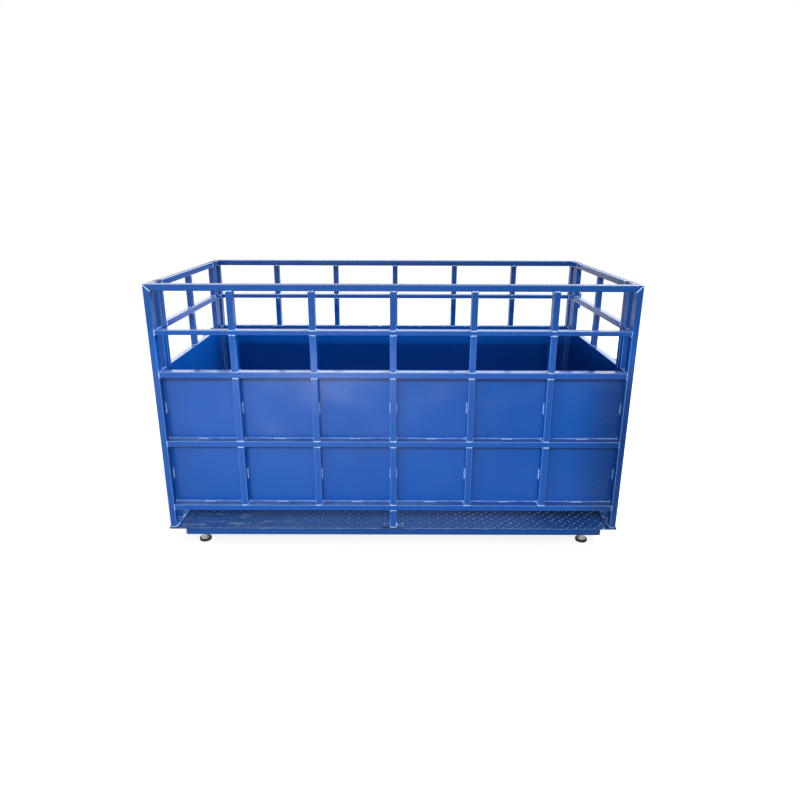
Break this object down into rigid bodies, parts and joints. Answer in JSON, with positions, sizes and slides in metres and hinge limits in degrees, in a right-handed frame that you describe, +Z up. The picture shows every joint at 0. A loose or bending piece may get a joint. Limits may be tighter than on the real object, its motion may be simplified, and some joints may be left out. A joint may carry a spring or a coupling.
{
  "type": "livestock weighing crate",
  "caption": "Animal weighing platform on levelling feet, fenced by tube panels with sheeted lower halves and closed at each end by a swinging gate with a slide bolt.",
  "frame": {"origin": "on the floor, under the middle of the deck", "axes": "+X along the crate to the right-hand gate, +Y from the front panel to the rear panel, +Z up"},
  "size_m": [3.12, 1.588, 1.77],
  "materials": {
    "blue_paint": "gloss",
    "deck_paint": "satin",
    "zinc_steel": "satin",
    "alloy": "satin",
    "dark_steel": "satin",
    "rubber": "matte",
    "black_plastic": "matte"
  },
  "bodies": {
    "platform": {"deck_plate": "deck_paint", "side_beams": "blue_paint", "end_beams": "blue_paint", "cross_beams": "blue_paint", "load_cells": "alloy", "cell_spacers": "zinc_steel", "foot_nuts": "zinc_steel", "junction_box": "alloy", "junction_box_lid": "alloy", "cable_glands": "black_plastic", "base_plates": "blue_paint", "anchor_bolts": "zinc_steel", "center_stubs": "blue_paint", "front_posts": "blue_paint", "front_top_rail": "blue_paint", "front_second_rail": "blue_paint", "front_third_rail": "blue_paint", "front_fourth_rail": "blue_paint", "front_bottom_rail": "blue_paint", "front_uprights": "blue_paint", "front_sheet": "blue_paint", "rear_posts": "blue_paint", "rear_top_rail": "blue_paint", "rear_second_rail": "blue_paint", "rear_third_rail": "blue_paint", "rear_fourth_rail": "blue_paint", "rear_bottom_rail": "blue_paint", "rear_uprights": "blue_paint", "rear_sheet": "blue_paint", "left_gate_posts": "blue_paint", "right_gate_posts": "blue_paint", "corner_links": "blue_paint", "post_plugs": "black_plastic", "post_hinge_leaves": "blue_paint", "bolt_keepers": "blue_paint"},
    "left_gate": {"left_gate_stiles": "blue_paint", "left_gate_rails": "blue_paint", "left_gate_uprights": "blue_paint", "left_gate_sheet": "blue_paint", "left_gate_hinge_leaves": "blue_paint", "left_bolt_guides": "blue_paint", "left_gate_plugs": "black_plastic"},
    "left_bolt": {"left_slide_bolt": "dark_steel"},
    "right_gate": {"right_gate_stiles": "blue_paint", "right_gate_rails": "blue_paint", "right_gate_uprights": "blue_paint", "right_gate_sheet": "blue_paint", "right_gate_hinge_leaves": "blue_paint", "right_bolt_guides": "blue_paint", "right_gate_plugs": "black_plastic"},
    "right_bolt": {"right_slide_bolt": "dark_steel"},
    "front_left_leveller": {"front_left_foot": "zinc_steel", "front_left_pad": "rubber"},
    "front_right_leveller": {"front_right_foot": "zinc_steel", "front_right_pad": "rubber"},
    "rear_left_leveller": {"rear_left_foot": "zinc_steel", "rear_left_pad": "rubber"},
    "rear_right_leveller": {"rear_right_foot": "zinc_steel", "rear_right_pad": "rubber"}
  },
  "joints": [
    {"name": "left_gate_swing", "type": "hinge", "parent": "platform", "child": "left_gate", "pos_m": [-1.514, -0.604, 0.94], "axis": [0, 0, 1], "range_deg": [0, 175]},
    {"name": "left_bolt_slide", "type": "slide", "parent": "left_gate", "child": "left_bolt", "axis": [0, 1, 0], "range_m": [0, 0.06]},
    {"name": "right_gate_swing", "type": "hinge", "parent": "platform", "child": "right_gate", "pos_m": [1.514, 0.604, 0.94], "axis": [0, 0, 1], "range_deg": [0, 175]},
    {"name": "right_bolt_slide", "type": "slide", "parent": "right_gate", "child": "right_bolt", "axis": [0, -1, 0], "range_m": [0, 0.06]},
    {"name": "front_left_foot_turn", "type": "hinge", "parent": "platform", "child": "front_left_leveller", "pos_m": [-1.305, -0.695, 0.06], "axis": [0, 0, 1], "continuous": true},
    {"name": "front_right_foot_turn", "type": "hinge", "parent": "platform", "child": "front_right_leveller", "pos_m": [1.305, -0.695, 0.06], "axis": [0, 0, 1], "continuous": true},
    {"name": "rear_left_foot_turn", "type": "hinge", "parent": "platform", "child": "rear_left_leveller", "pos_m": [-1.305, 0.695, 0.06], "axis": [0, 0, 1], "continuous": true},
    {"name": "rear_right_foot_turn", "type": "hinge", "parent": "platform", "child": "rear_right_leveller", "pos_m": [1.305, 0.695, 0.06], "axis": [0, 0, 1], "continuous": true}
  ]
}
